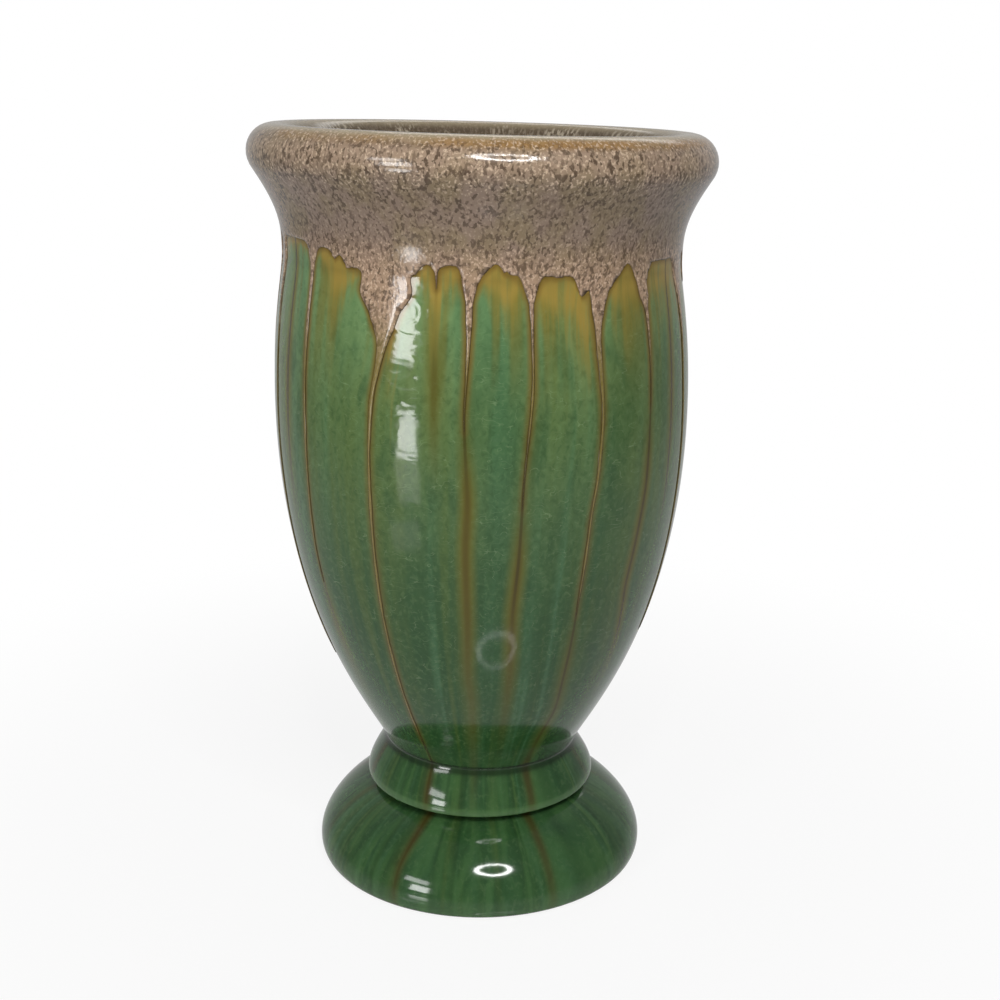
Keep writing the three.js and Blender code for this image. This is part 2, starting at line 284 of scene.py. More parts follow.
collar_bottom = foot_height + throat_height
bulge_height = collar_bottom + collar_bulge_height
collar_underside = arc(
    (throat_radius, bulge_height), (collar_radius - throat_radius, collar_bulge_height), -90, 0, 12)
collar_shoulder = bend(
    (collar_radius, bulge_height),
    (collar_radius, bulge_height + collar_bulge_hold),
    (groove_radius + collar_top_flare, groove_height - collar_top_hold),
    (groove_radius, groove_height),
    18,
)
collar_face = join(collar_underside, collar_shoulder)


def collar_outline():
    """The clay's section: flat underside, glazed bulge, flat top and straight bore."""
    bottom = collar_bottom - throat_height / 2 + joint_half
    top = groove_height - joint_half
    side = offset(collar_face, -layer_step)
    side = side[(side[:, 1] > bottom) & (side[:, 1] < top) & (side[:, 0] > throat_radius)]
    return join([(bore_radius, bottom), (throat_radius - layer_step, bottom)], side,
                [(groove_radius - layer_step, top), (bore_radius, top)])


collar_line = collar_outline()
collar = add_mesh(
    "collar_ring", lean(turn(collar_line)), grid_faces(smooth_columns, len(collar_line), closed=True), clay)
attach(collar, "root")
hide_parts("collar")

# The bowl
# The deep thrown bowl with its floor and its rim rolled outwards, of the same clay.
# The glazes cover it all over, apart from the round of its underside that shows in the foot's bore.

total_height = 280.0
neck_height = total_height - 44
belly_height = total_height - 99
rim_radius = 83.3
rim_roll_radius = 9.7
neck_radius = 71.6
belly_radius = 76.3
groove_flare = 23
groove_hold = 13.5
belly_hold_below = 81.0
belly_hold_above = 32.0
neck_hold_below = 7.0
neck_hold_above = 9.0
undercut = 33
undercut_hold = 17.0
wall_thickness = 7.0
underside_inset = 2.0
floor_height = groove_height + 9
floor_flat_radius = 12.0
floor_round_height = 13.0
floor_round_hold = 15.0

roll_radius = rim_roll_radius - layer_step
roll_centre = (rim_radius - rim_roll_radius, total_height - rim_roll_radius)
outer_roll = arc(roll_centre, (roll_radius, roll_radius), -undercut, 90, 28)
inner_roll = arc(roll_centre, (roll_radius, roll_radius), 90, 180, 20)
undercut_slope = np.array([np.sin(radians(undercut)), np.cos(radians(undercut))])
groove_point = np.array([groove_radius, groove_height])
groove_slope = np.array([np.sin(radians(groove_flare)), np.cos(radians(groove_flare))])
bowl_side = join(
    bend(
        groove_point,
        groove_point + groove_hold * groove_slope,
        (belly_radius, belly_height - belly_hold_below),
        (belly_radius, belly_height),
        84,
    ),
    bend(
        (belly_radius, belly_height),
        (belly_radius, belly_height + belly_hold_above),
        (neck_radius, neck_height - neck_hold_below),
        (neck_radius, neck_height),
        34,
    ),
    bend(
        (neck_radius, neck_height),
        (neck_radius, neck_height + neck_hold_above),
        outer_roll[0] - undercut_hold * undercut_slope,
        outer_roll[0],
        14,
    ),
)


def bowl_inner_face():
    """The inside: over the rim, a wall's thickness behind the outside, then a Bezier curve round to the
    flat floor."""
    neck_inside = (neck_radius - wall_thickness, neck_height)
    middle = (roll_centre[1] + neck_height) / 2
    inner_neck = bend(inner_roll[-1], (inner_roll[-1][0], middle), (neck_inside[0], middle), neck_inside, 12)
    wall = offset(bowl_side, -wall_thickness)[::-2]
    wall = wall[(wall[:, 1] < neck_height) & (wall[:, 1] > floor_height + floor_round_height)]
    slope = wall[-1] - wall[-2]
    slope /= np.linalg.norm(slope)
    floor_round = bend(
        wall[-1], wall[-1] + floor_round_hold * slope,
        (floor_flat_radius + floor_round_hold, floor_height), (floor_flat_radius, floor_height), 16)
    flat = [(radius, floor_height) for radius in (9, 6, 3, 0)]
    return join(inner_roll, inner_neck, wall, floor_round, flat)


inner_face = bowl_inner_face()
outer_face = join(foot_face, collar_face, bowl_side, outer_roll)


def bowl_outline():
    """The clay's section, a layer's depth behind the glazed faces: from the middle of the underside up,
    over the rim and down to the middle of the floor."""
    underside = groove_height + joint_half
    side = offset(join(bowl_side, outer_roll, inner_face), -layer_step)[2:]
    side[-1][0] = 0
    return join([(0, underside), (groove_radius - underside_inset, underside)], side)


bowl_line = bowl_outline()
bowl_faces = grid_faces(smooth_columns, len(bowl_line), closed=False)
bowl = add_mesh("bowl_wall", lean(turn(bowl_line)), bowl_faces.tolist(), clay)
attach(bowl, "root")
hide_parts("bowl")

# The run lines
# Where the brown glaze melted and ran down over the green one, measured on the front that the photo shows.
# Both outer glazes follow these lines, so they are worked out once here.

# Each run of the front: height, azimuth and half width down its middle, and the heights where its raised
# bead, its dark line and its soft streak end. Azimuth 0 is the front, and they grow to the right
front_runs = [
    dict(path=[(230, -61, 0.4), (150, -62, 0.4)],
         bead=300, line=150, streak=170),
    dict(path=[(244, -49.9, 4.5), (242, -50.6, 3.4), (240, -51.4, 2.2), (236, -51.3, 1.3), (226, -51.2, 0.8),
               (193, -51.4, 0.65), (165, -51.5, 0.6), (134, -52.7, 0.5), (119, -52.3, 0.4)],
         bead=122, line=112, streak=90),
    dict(path=[(241, -25, 12), (236.5, -25, 11), (230, -24.7, 8.8), (224.5, -25.2, 6.2), (220.3, -24.6, 4.2),
               (216, -24.5, 2.7), (206, -25.8, 1.2), (196, -27.5, 0.8), (177, -28.4, 0.65),
               (120, -28.8, 0.6), (60, -28.2, 0.5), (45, -28, 0.5), (33, -26.2, 0.5), (26, -26.9, 0.5),
               (14, -29.4, 0.5), (7, -28.9, 0.5)],
         bead=58, line=10, streak=0),
    dict(path=[(242, -11, 3), (239, -11, 1.8), (236.5, -11, 1.2), (233, -10.9, 0.7), (197, -11, 0.4)],
         bead=232, line=236, streak=190),
    dict(path=[(240, -2.3, 3.8), (238.4, -2.4, 3.3), (235.3, -2.4, 2.95), (228, -2.5, 1.5),
               (219, -2.5, 0.85), (211, -2.7, 0.7), (191, -3.6, 0.55), (163, -2.6, 0.4), (146, -3.3, 0.4),
               (115, -3, 0.4), (95, -3.4, 0.4), (85, -2.4, 0.4), (62, -2.7, 0.4), (40, -2.9, 0.4),
               (10, -2.6, 0.4)],
         bead=186, line=172, streak=48),
    dict(path=[(240, 13.2, 4.6), (236.5, 13.2, 3.6), (234.7, 13.1, 2.7), (228, 13.2, 0.8), (222, 13.3, 0.55),
               (201, 13.4, 0.5), (180, 11.9, 0.45), (170, 11.2, 0.4), (143, 10.6, 0.4), (122, 9.6, 0.4),
               (95, 10.3, 0.4), (60, 10, 0.4)],
         bead=160, line=122, streak=72),
    dict(path=[(240, 34.5, 8), (235.5, 33.3, 6), (231.5, 32.5, 4.3), (226.8, 31.8, 2.95), (221, 31.4, 1.85),
               (215.3, 31.2, 1.05), (205, 31.8, 0.8), (192, 32.5, 0.7), (170, 31.4, 0.6), (158, 30, 0.55),
               (126, 29.1, 0.45), (92, 29.9, 0.4), (76, 31.2, 0.4), (64, 28.4, 0.4), (42, 27.3, 0.4),
               (26, 25.9, 0.4), (10, 26, 0.4)],
         bead=118, line=62, streak=6),
    dict(path=[(240, 47.6, 5), (236.7, 47.7, 4.6), (233.5, 48.2, 3.6), (228.3, 48.7, 2.4), (225, 49.2, 1.05),
               (218, 49.4, 0.7), (202, 49.6, 0.5), (163, 49.1, 0.45), (147, 47.8, 0.4), (127, 46.5, 0.4),
               (99, 50.5, 0.4)],
         bead=190, line=104, streak=96),
    dict(path=[(230, 61, 0.4), (150, 60, 0.4)],
         bead=300, line=150, streak=170),
]
# The coat's edge between these runs: azimuth and height
front_edge = [
    (-59, 243.2), (-46.6, 242.2), (-43.3, 241.3), (-41.8, 238.4), (-39.2, 240.4), (-37.4, 236.2),
    (-33.8, 236.6), (-16.2, 236.3), (-14.8, 238.5), (-13, 239.8), (-12.1, 239), (-8.9, 239.1), (-7.2, 239.6),
    (-5.5, 239.5), (-4.8, 238.4), (-0.1, 235.4), (0.7, 236.8), (2.4, 237.8), (3.4, 240.2), (4.3, 240.7),
    (5.5, 239.2), (6.3, 237.6), (7.4, 238.3), (8.2, 235.9), (9.4, 236.8), (10.3, 239.7), (16.1, 237.1),
    (20.6, 236), (22.7, 236.6), (24.7, 236.2), (25.8, 233.7), (26.4, 230.3), (27.9, 229.7), (29.5, 234),
    (38.7, 238.6), (40.3, 240), (42, 239.8), (51.3, 238), (51.8, 239.3), (59, 239.2),
]
# How far in mm the ochre halo reaches below that edge: azimuth and reach
front_halo = [
    (-59, 2), (-50, 3), (-45, 6), (-43, 13), (-39, 12), (-36, 6), (-33, 3), (-25, 3), (-23.3, 30),
    (-21.3, 30), (-19.5, 8), (-16, 3), (-13.5, 5), (-12, 15), (-10, 15),
    (-8.6, 9), (-6, 6), (-4, 3), (1, 3), (3, 8), (6, 12), (9, 9), (12, 5), (16, 9), (20, 13),
    (24, 12), (28, 18), (31, 8), (36, 9), (40, 16), (44, 13), (48, 5), (53, 13), (59, 9),
]
# The sides and the back aren't seen: azimuth and share of the way to the groove, as on the frame's runs
back_runs = [
    (71, 0.72), (82, 0.06), (94, 0.9), (112, 0.5), (131, 0.82), (148, 0.11), (163, 0.95), (182, 0.64),
    (203, 0.84), (221, 0.08), (237, 0.76), (256, 0.91), (274, 0.52), (288, 0.79),
]
back_heights = np.array([242, 238, 234, 229, 223, 215, 200, 175, 150, 120, 90, 60, 30])
# A short back run is one drip, and a long one has a funnel. Pairs are the least and the most of a draw
short_reach = 0.2
short_throat, long_throat = 228, (206, 226)
short_opening, long_opening = 2.5, (3, 9)
short_half, long_half = 1.3, (0.55, 0.9)
funnel_top = 240
stray_step = 0.45
line_past_bead = 22
streak_past_bead = (30, 70)
lowest_line, lowest_streak = 10, 5
coat_depth_outside = 46.0
coat_depth_inside = 34.0
melt_width = 2.4
# A run that ends on the upper bowl thins out over the long taper, and a lower one over the short taper
long_taper = 34
short_taper = 12
upper_bowl = 145
# Long and short beads down a run: how far each swells it, and the way in mm to a radian of its wave
long_swell, long_bead = 0.12, 5.1
short_swell, short_bead = 0.07, 1.9
# A coat's edge rises and falls by its wave and its teeth where it isn't measured, and by its grain all round
edge_wave, edge_teeth, edge_grain = 1.3, 0.7, 0.2
inner_wave, inner_teeth = 1.5, 0.5
back_halo, halo_wave = 2, 5
longest_way = 320
eased_step = 2.0
eased_points = 9
seen_half = 60.0
seen_fade = 15.0
column_gap = 0.3
wander = np.random.default_rng(11)

whole_face = join(outer_face, inner_face)
steps_along = np.linalg.norm(np.diff(whole_face, axis=0), axis=1)
whole_way = np.append(0, np.cumsum(steps_along))
whole_way = whole_way[len(outer_face) - 1] - whole_way
whole_normal = line_normals(whole_face)
groove_way = whole_way[len(join(foot_face, collar_face)) - 1]


def way_at(height):
    """Distance down the outside from the rim's crest to a height."""
    outside = slice(0, len(outer_face))
    return np.interp(height, whole_face[outside, 1], whole_way[outside])


def add_back_runs():
    """Runs for the sides and the back in the form of the front ones: each strays by a degree or so, and
    its funnel opens with the square of the height above its throat."""
    runs = []
    for azimuth, reach in back_runs:
        short = reach < short_reach
        end_way = coat_depth_outside + reach * (groove_way - coat_depth_outside)
        end = np.interp(-end_way, -whole_way, whole_face[:, 1])
        throat = short_throat if short else wander.uniform(*long_throat)
        opening = short_opening if short else wander.uniform(*long_opening)
        half = short_half if short else wander.uniform(*long_half)
        halves = half + opening * np.clip((back_heights - throat) / (funnel_top - throat), 0, None) ** 2
        azimuths = azimuth + np.cumsum(wander.normal(0, stray_step, len(back_heights)))
        line = max(end - line_past_bead, lowest_line)
        streak = max(end - wander.uniform(*streak_past_bead), lowest_streak)
        runs.append(dict(path=list(zip(back_heights, azimuths, halves)), bead=end, line=line, streak=streak))
    return runs


runs = sorted(front_runs + add_back_runs(), key=lambda run: (run["path"][0][1] + 180) % 360)
run_places = np.array([(run["path"][0][1] + 180) % 360 - 180 for run in runs])


def run_lines(ways):
    """Each run's stray in degrees from its top, eased over 12 mm, and its half width, at each way."""
    fine = np.arange(0, longest_way, eased_step)
    window = np.hanning(eased_points) / np.hanning(eased_points).sum()
    strays, halves = [], []
    for run in runs:
        heights, azimuths, widths = np.array(run["path"], float).T
        line = np.interp(fine, way_at(heights), azimuths - azimuths[0])
        eased = np.convolve(np.pad(line, eased_points // 2, mode="edge"), window, mode="valid")
        strays.append(np.interp(ways, fine, eased))
        halves.append(np.interp(ways, way_at(heights), widths))
    return np.array(strays), np.array(halves)


def grid_columns(beside, spare_step):
    """Azimuths of a grid's columns: set distances in mm beside each run, as far as a column's gap from the
    middle between two runs, and even steps between."""
    steps = np.degrees(np.concatenate([-np.array(beside[::-1]), [0], beside]) / belly_radius)
    columns = []
    for index, place in enumerate(run_places):
        following = run_places[(index + 1) % len(runs)]
        following += 360 if following < place else 0
        middle = (place + following) / 2
        columns += [place + step for step in steps if step >= 0 and place + step < middle - column_gap]
        right = [following + step for step in steps if step < 0 and following + step > middle + column_gap]
        gap = right[0] - columns[-1] if right else following - columns[-1]
        count = max(int(round(gap / spare_step)) - 1, 0)
        columns += list(columns[-1] + gap * np.arange(1, count + 1) / (count + 1))
        columns += right
    return np.array(columns)


def bent_grid(columns, ways):
    """Azimuth of each grid point: a column moves with the run beside it, eased between two runs."""
    after = np.searchsorted(run_places, columns, side="right")
    left = (after - 1) % len(runs)
    right = after % len(runs)
    start = run_places[left]
    span = (run_places[right] - start) % 360
    share = smoothstep(0.2, 0.8, ((columns - start) % 360) / span)[:, None]
    strays = run_lines(ways)[0]
    return columns[:, None] + (1 - share) * strays[left] + share * strays[right]


def face_at(ways):
    """Radius, height and normal of the glazed face at each way."""
    points = [np.interp(-ways, -whole_way, whole_face[:, axis]) for axis in (0, 1)]
    normals = [np.interp(-ways, -whole_way, whole_normal[:, axis]) for axis in (0, 1)]
    return (*points, *normals)


def over_face(azimuths, ways, lift):
    """Points above the glazed face: (r sin a, -r cos a, z) at the way, moved by lift along the normal."""
    radius, height, outwards, upwards = face_at(ways)
    radius = radius + lift * outwards
    height = height + lift * upwards
    a = np.radians(azimuths)
    return lean(np.stack([radius * np.sin(a), -radius * np.cos(a), height + 0 * a], axis=-1))


def beside_runs(azimuths, ways):
    """For each run in turn: the distance in mm of each grid point from its middle, and its half width."""
    radius = face_at(ways)[0]
    strays, halves = run_lines(ways)
    for place, stray, half in zip(run_places, strays, halves):
        away = np.abs((azimuths - place - stray + 180) % 360 - 180)
        yield np.radians(away) * radius, half


def wave(azimuths, length, seed):
    """A wavy number from -1 to 1 round the vase: three sines of about the given length in mm."""
    draws = np.random.default_rng(seed)
    total = 0
    for share in (0.45, 0.33, 0.22):
        turns = round(2 * pi * neck_radius / length * draws.uniform(0.7, 1.4))
        total = total + share * np.sin(np.radians(azimuths) * turns + draws.uniform(0, 2 * pi))
    return total


def unseen(azimuths):
    """0 on the front that the photo shows, easing to 1 on the sides and the back."""
    return smoothstep(seen_half, seen_half + seen_fade, np.abs((azimuths + 180) % 360 - 180))


def coat_edge(azimuths):
    """The way at which the coat ends between the runs: measured in front, waves and teeth elsewhere."""
    places, heights = np.array(front_edge).T
    edge = np.interp(azimuths, places, way_at(heights), period=360)
    waves = edge_wave * wave(azimuths, length=11, seed=3) + edge_teeth * wave(azimuths, length=4, seed=4)
    return edge + unseen(azimuths) * waves + edge_grain * wave(azimuths, length=2, seed=7)


def halo_reach(azimuths):
    """How far in mm the ochre halo reaches below the coat: measured in front, waves elsewhere."""
    places, reaches = np.array(front_halo, float).T
    reach = np.interp(azimuths, places, reaches, period=360)
    return reach + unseen(azimuths) * (back_halo + halo_wave * wave(azimuths, length=15, seed=8) ** 2)


def brown_depth(azimuths, ways):
    """Distance in mm into the brown glaze, negative outside it. The coat gives the way left to its edge,
    and a run its half width, in beads, less the distance across, with a rounded tip. The largest counts,
    and where coat and run are about equal they melt into each other."""
    heights = face_at(ways)[1]
    deepest = np.full(azimuths.shape, -100.0)
    for index, (across, half) in enumerate(beside_runs(azimuths, ways)):
        end = runs[index]["bead"]
        taper = long_taper if end > upper_bowl else short_taper
        thinning = np.clip((heights - end) / taper, 0, 1) ** 0.5
        long_beads = long_swell * np.sin(ways / long_bead + 2.3 * index)
        beaded = 1 + long_beads + short_swell * np.sin(ways / short_bead + index)
        past_tip = np.maximum(end - heights, 0)
        deepest = np.maximum(deepest, half * beaded * thinning - np.hypot(across, past_tip))
    coat = coat_edge(azimuths) - ways
    near = np.clip(1 - np.abs(coat - deepest) / melt_width, 0, 1)
    both = np.maximum(coat, deepest) + near ** 2 * melt_width / 4
    inner_edge = ways + coat_depth_inside + inner_wave * wave(azimuths, length=14, seed=5)
    return np.minimum(both, inner_edge + inner_teeth * wave(azimuths, length=3, seed=6))


def flow_places(columns, ways):
    """Where a point lies in the melted glaze's own flow: round the belly, and the way down, in mm."""
    a = np.radians(columns)[:, None] + 0 * ways
    return np.stack([belly_radius * np.sin(a), -belly_radius * np.cos(a), ways + 0 * a], axis=-1)


# The green glaze
# A copper-green glaze poured over the outside, one glassy coat from the rim to just above the foot's ring.
# It mirrors the room sharply, lies thin and pale on high edges, and broke into streaks and fine hairs as
# it ran. It is darker in the grooves: partly glaze pooled there, partly painted shade under the bowl and the
# collar.

glass_index = 1.45
green_beside = [0.5, 1.1, 1.8, 2.8, 4.4, 7.0]
green_spare_step = 1.5
# All rows are kept below this way, every third one under the brown coat, and every fifth on the inside
all_rows_way = 36
covered_rows = 3
inside_rows = 5
far_from_runs = 20.0
line_fade = 18
streak_fade = 30
# The soft streak is weak beside a raised bead, and comes in from 5 mm above its end to 25 mm below it
streak_beside_bead = 0.3
streak_comes_in = (5, -25)
# The grooves darken fully, as pooled glaze and painted shade, in a hollow of the one radius, and the glaze
# thins fully over an edge of the other
dark_hollow_radius = 6
crest_radius = 4


def glaze_finish(name, labels, clouds, masks, body, layers, bumps, roughness):
    """Glazed: glossy glass over the colours of its layers, built from tables that name their values.

    labels: values that the mesh carries, among them where it lies in the glaze's flow.
    clouds: where they lie (in space or in the flow), size in mm, how far drawn down, detail, twist.
    masks: a value, what it is at the mask's start and end, the mask there, and masks that it is times.
    body, layers: the first colour, and each mask with the colour that it lays over those before.
    bumps: a value and how far in mm it raises the glass.
    """
    finish, tree = new_finish(name)
    metres = add_node(tree, "ShaderNodeTexCoord", out="Object")
    space = add_node(tree, "ShaderNodeVectorMath", {0: metres, "Scale": 1000.0}, operation="SCALE")
    value = {"space": space, "height": add_node(tree, "ShaderNodeSeparateXYZ", {0: space}, out="Z")}
    for label in labels:
        output = "Vector" if label == "flow" else "Fac"
        value[label] = add_node(tree, "ShaderNodeAttribute", out=output, attribute_name=label)
    if "flow" in value:
        value["way"] = add_node(tree, "ShaderNodeSeparateXYZ", {0: value["flow"]}, out="Z")
    for label, (where, size, drawn, detail, twist) in clouds.items():
        stretched = add_node(tree, "ShaderNodeMapping", {"Vector": value[where], "Scale": (1, 1, 1 / drawn)})
        value[label] = add_node(tree, "ShaderNodeTexNoise", {
            "Vector": stretched, "Scale": 1 / size, "Detail": detail, "Distortion": twist})
    for label, (source, start, end, low, high, *others) in masks.items():
        value[label] = add_node(tree, "ShaderNodeMapRange", {
            "Value": value[source], "From Min": start, "From Max": end, "To Min": low, "To Max": high},
            interpolation_type="SMOOTHSTEP")
        for other in others:
            value[label] = add_node(tree, "ShaderNodeMath", {0: value[label], 1: value[other]},
                                    operation="MULTIPLY")
    colour = linear(body)
    for label, code in layers:
        colour = add_node(tree, "ShaderNodeMix", {"Factor": value[label], "A": colour, "B": linear(code)},
                          data_type="RGBA")
    surface = {"Base Color": colour, "Roughness": roughness, "IOR": glass_index}
    for label, rise in bumps:
        bump = {"Strength": 1.0, "Distance": rise / 1000, "Height": value[label]}
        if "Normal" in surface:
            bump["Normal"] = surface["Normal"]
        surface["Normal"] = add_node(tree, "ShaderNodeBump", bump)
    shader = add_node(tree, "ShaderNodeBsdfPrincipled", surface)
    add_node(tree, "ShaderNodeOutputMaterial", {"Surface": shader})
    return finish


def green_coat():
    """The coat's grid and values: rows up the outside face, over a rounded lip and back down the inside."""
    columns = grid_columns(green_beside, green_spare_step)
    outer_ways = whole_way[:len(outer_face)]
    kept = (outer_ways > all_rows_way) | (np.arange(len(outer_ways)) % covered_rows == 0)
    kept[-1] = True
    ways = outer_ways[kept]
    back_ways = ways[::inside_rows][::-1]
    azimuths = bent_grid(columns, ways)
    back_azimuths = bent_grid(columns, back_ways)
    points = np.concatenate(
        [over_face(azimuths, ways, 0.0), over_face(back_azimuths, back_ways, -coat_thickness)], axis=1)
    ways = np.concatenate([ways, back_ways])
    azimuths = np.concatenate([azimuths, back_azimuths], axis=1)
    heights = face_at(ways)[1]
    nearest = np.full(azimuths.shape, far_from_runs)
    line = np.zeros(azimuths.shape)
    streak = np.zeros(azimuths.shape)
    for run, (across, half) in zip(runs, beside_runs(azimuths, ways)):
        closer = across < nearest
        nearest = np.where(closer, across, nearest)
        comes_in = smoothstep(*(run["bead"] + past for past in streak_comes_in), heights)
        below_bead = streak_beside_bead + (1 - streak_beside_bead) * comes_in
        above_end = smoothstep(-1, 1, (heights - run["streak"]) / streak_fade)
        line = np.where(closer, smoothstep(-1, 1, (heights - run["line"]) / line_fade), line)
        streak = np.where(closer, below_bead * above_end, streak)
    bend_of_face = np.gradient(np.unwrap(np.arctan2(*whole_normal.T[::-1])), whole_way)
    curve = np.interp(-ways, -whole_way, np.convolve(bend_of_face, np.hanning(7) / 3, mode="same"))
    values = {
        "flow": flow_places(columns, ways),
        "outside_brown": -brown_depth(azimuths, ways),
        "below_coat": ways - coat_edge(azimuths),
        "halo_share": 1 - (ways - coat_edge(azimuths)) / halo_reach(azimuths),
        "across": nearest,
        "line": line,
        "streak": streak,
        "hollowness": np.clip(curve * dark_hollow_radius, 0, 1) + 0 * nearest,
        "crest": np.clip(-curve * crest_radius, 0, 1) + 0 * nearest,
    }
    return points, values


green_clouds = {
    "bands": ("flow", 7.5, 22, 2, 0),
    "wide": ("flow", 22, 5, 2, 0),
    "patches": ("flow", 7, 3, 2, 0.6),
    "mottle": ("space", 1.8, 1.3, 2, 0.6),
    "hairs": ("flow", 4.2, 0.45, 0, 0.4),
    "gaps": ("space", 4.5, 1.5, 2, 0),
    "threads": ("flow", 2, 16, 4, 0),
    "plumes": ("flow", 6, 30, 1, 0),
    "ripples": ("space", 9, 1.5, 1, 0),
    "curdle": ("space", 9, 0.6, 1, 0.8),
}
green_masks = {
    "upper": ("height", 100, 254, 0, 1),
    "lowest": ("height", 50, 30, 0, 0.5),
    "bluish": ("bands", 0.5, 0.72, 0, 0.45),
    "olive": ("bands", 0.5, 0.3, 0, 0.45),
    "shade": ("wide", 0.45, 0.68, 0, 0.6),
    "patch": ("patches", 0.5, 0.7, 0, 0.5),
    "pale_mottle": ("mottle", 0.5, 0.72, 0, 0.12),
    "dark_mottle": ("mottle", 0.5, 0.28, 0, 0.35),
    "on_foot": ("height", 60, 44, 0, 1),
    "foot_streak": ("plumes", 0.5, 0.78, 0, 0.6, "on_foot"),
    "foot_light": ("patches", 0.62, 0.36, 0, 0.5, "on_foot"),
    "on_bowl": ("height", 44, 72, 0.2, 1),
    "gap": ("gaps", 0.4, 0.6, 0, 1),
    "hair_side": ("hairs", 0.48, 0.5, 0, 1),
    "hair": ("hairs", 0.515, 0.5, 0, 0.26, "hair_side", "gap", "on_bowl"),
    "golden": ("height", 60, 140, 0.4, 1),
    "soft_streak": ("across", 4.8, 0.4, 0, 0.85, "streak", "on_bowl", "golden"),
    "streak_core": ("across", 2.2, 0.2, 0, 0.75, "streak", "golden"),
    "foot_run": ("across", 3.2, 0.3, 0, 0.5, "streak", "on_foot"),
    "lobe_side": ("plumes", 0.56, 0.4, 0, 1),
    "lobe": ("below_coat", 46, 10, 0, 0.3, "lobe_side"),
    "plume_side": ("plumes", 0.42, 0.62, 0, 1),
    "plume": ("below_coat", 52, 2, 0, 0.7, "plume_side"),
    "thread_side": ("threads", 0.38, 0.62, 0.1, 1),
    "halo_side": ("threads", 0.32, 0.55, 0.45, 1),
    "thread": ("halo_share", -1.6, 0.4, 0, 0.8, "thread_side"),
    "halo": ("halo_share", -0.2, 0.5, 0, 0.85, "halo_side"),
    "near_coat": ("way", 110, 66, 0.35, 1),
    "beside": ("outside_brown", 2.2, 0.1, 0, 0.8, "near_coat"),
    "broken": ("patches", 0.35, 0.6, 0.25, 1),
    "outline": ("outside_brown", 0.7, 0.05, 0, 0.6, "broken"),
    "thin_line": ("across", 0.7, 0.25, 0, 0.7, "line"),
    # darker in the hollows: pooled glaze, and painted shade in the grooves under the bowl and the collar
    "pooled_glaze_and_shade": ("hollowness", 0, 0.8, 0, 0.7),
    "thinned": ("crest", 0, 1, 0, 0.4),
    "melted": ("way", 150, 60, 0, 1, "curdle"),
}
green_layers = [
    ("upper", "#657C4D"), ("lowest", "#2D4B28"), ("bluish", "#4A7350"), ("olive", "#50602A"),
    ("shade", "#305434"), ("patch", "#2A4A2A"), ("pale_mottle", "#7A9663"), ("dark_mottle", "#24421F"),
    ("foot_light", "#44683A"), ("foot_streak", "#1C361C"),
    ("hair", "#90A67A"), ("soft_streak", "#625D1A"), ("streak_core", "#4A3C08"), ("foot_run", "#402C14"),
    ("lobe", "#6C9263"), ("plume", "#716A2C"), ("thread", "#80702F"),
    ("halo", "#907A38"), ("beside", "#705826"), ("outline", "#54431A"), ("thin_line", "#3A3110"),
    # the near-black of the hollows is pooled glaze and painted shade
    ("pooled_glaze_and_shade", "#0D1C0B"), ("thinned", "#567A48"),
]
green_finish = glaze_finish(
    "copper_green_glaze",
    ["flow", "outside_brown", "below_coat", "halo_share", "across", "line", "streak", "hollowness", "crest"],
    green_clouds, green_masks, "#294A27", green_layers,
    [("ripples", 0.05), ("melted", 0.22), ("hairs", 0.004)], roughness=0.09)
green_points, green_values = green_coat()
green = add_mesh(
    "green_glaze_coat", green_points, grid_faces(*green_points.shape[:2], closed=True), green_finish,
    green_values)
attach(green, "root")
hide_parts("green_glaze")

# The liner glaze
# A glossy glaze poured into the bowl and out again, so that it holds water. It is the same dark
# green-brown all over, with pale flecks near its top that are painted glints.

crest_inset = 0.15
liner_clouds = {
    "cloud": ("space", 14, 1, 3, 0),
    "flecks": ("space", 1, 2.5, 3, 0),
}
liner_masks = {
    "tone": ("cloud", 0.2, 0.8, 0, 1),
    "near_top": ("height", 200, 260, 0, 1),
    # pale flecks near the top: painted glints
    "liner_glint": ("flecks", 0.5, 0.68, 0, 0.9, "near_top"),
}
# the pale #D2C6AE flecks are painted glints
liner_finish = glaze_finish(
    "olive_liner_glaze", [], liner_clouds, liner_masks, "#3A3F2A",
    [("tone", "#5A6040"), ("liner_glint", "#D2C6AE")], [("flecks", 0.03)], roughness=0.12)


def liner_outline():
    """The coat's section: the inside's face from the crest to the floor's middle, and back behind it."""
    face = inner_face.copy()
    face[0][0] -= crest_inset
    back = offset(face, -coat_thickness)
    back[-1][0] = 0
    return join(back[::-1], face)


liner_line = liner_outline()
liner = add_mesh(
    "liner_glaze_coat", lean(turn(liner_line)), grid_faces(smooth_columns, len(liner_line), closed=False),
    liner_finish)
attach(liner, "root")
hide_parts("liner_glaze")

# The drip glaze
# A second, thick mauve-brown glaze that the rim was dipped into over the green one. It drew down into
# funnels and beaded runs as it melted, and stays a low raised layer with a rounded edge. Dark specks and
# pale flakes in its glass give it a soft sparkle. Its pale top band is partly painted light from above,
# and the pale dashes inside the rim are painted glints.

drip_beside = [0.35, 0.7, 1.05, 1.45, 2.1, 3.2, 4.8, 7.2]
drip_spare_step = 0.8
# The grid's rows from the lowest run up and over the rim, closest at the funnels: from way, to way and step
drip_rows = [
    (240, 74, -2.6), (74, 58, -1.3), (58, 40, -0.7), (40, 18, -2.4), (18, -15, -1.5), (-15, -38, -1.8),
]
edge_rounding = 1.1
run_relief = 0.42
rim_relief = 0.8
thick_way = 16
thin_way = 44
edge_sink = 0.05
under_sink = 0.12


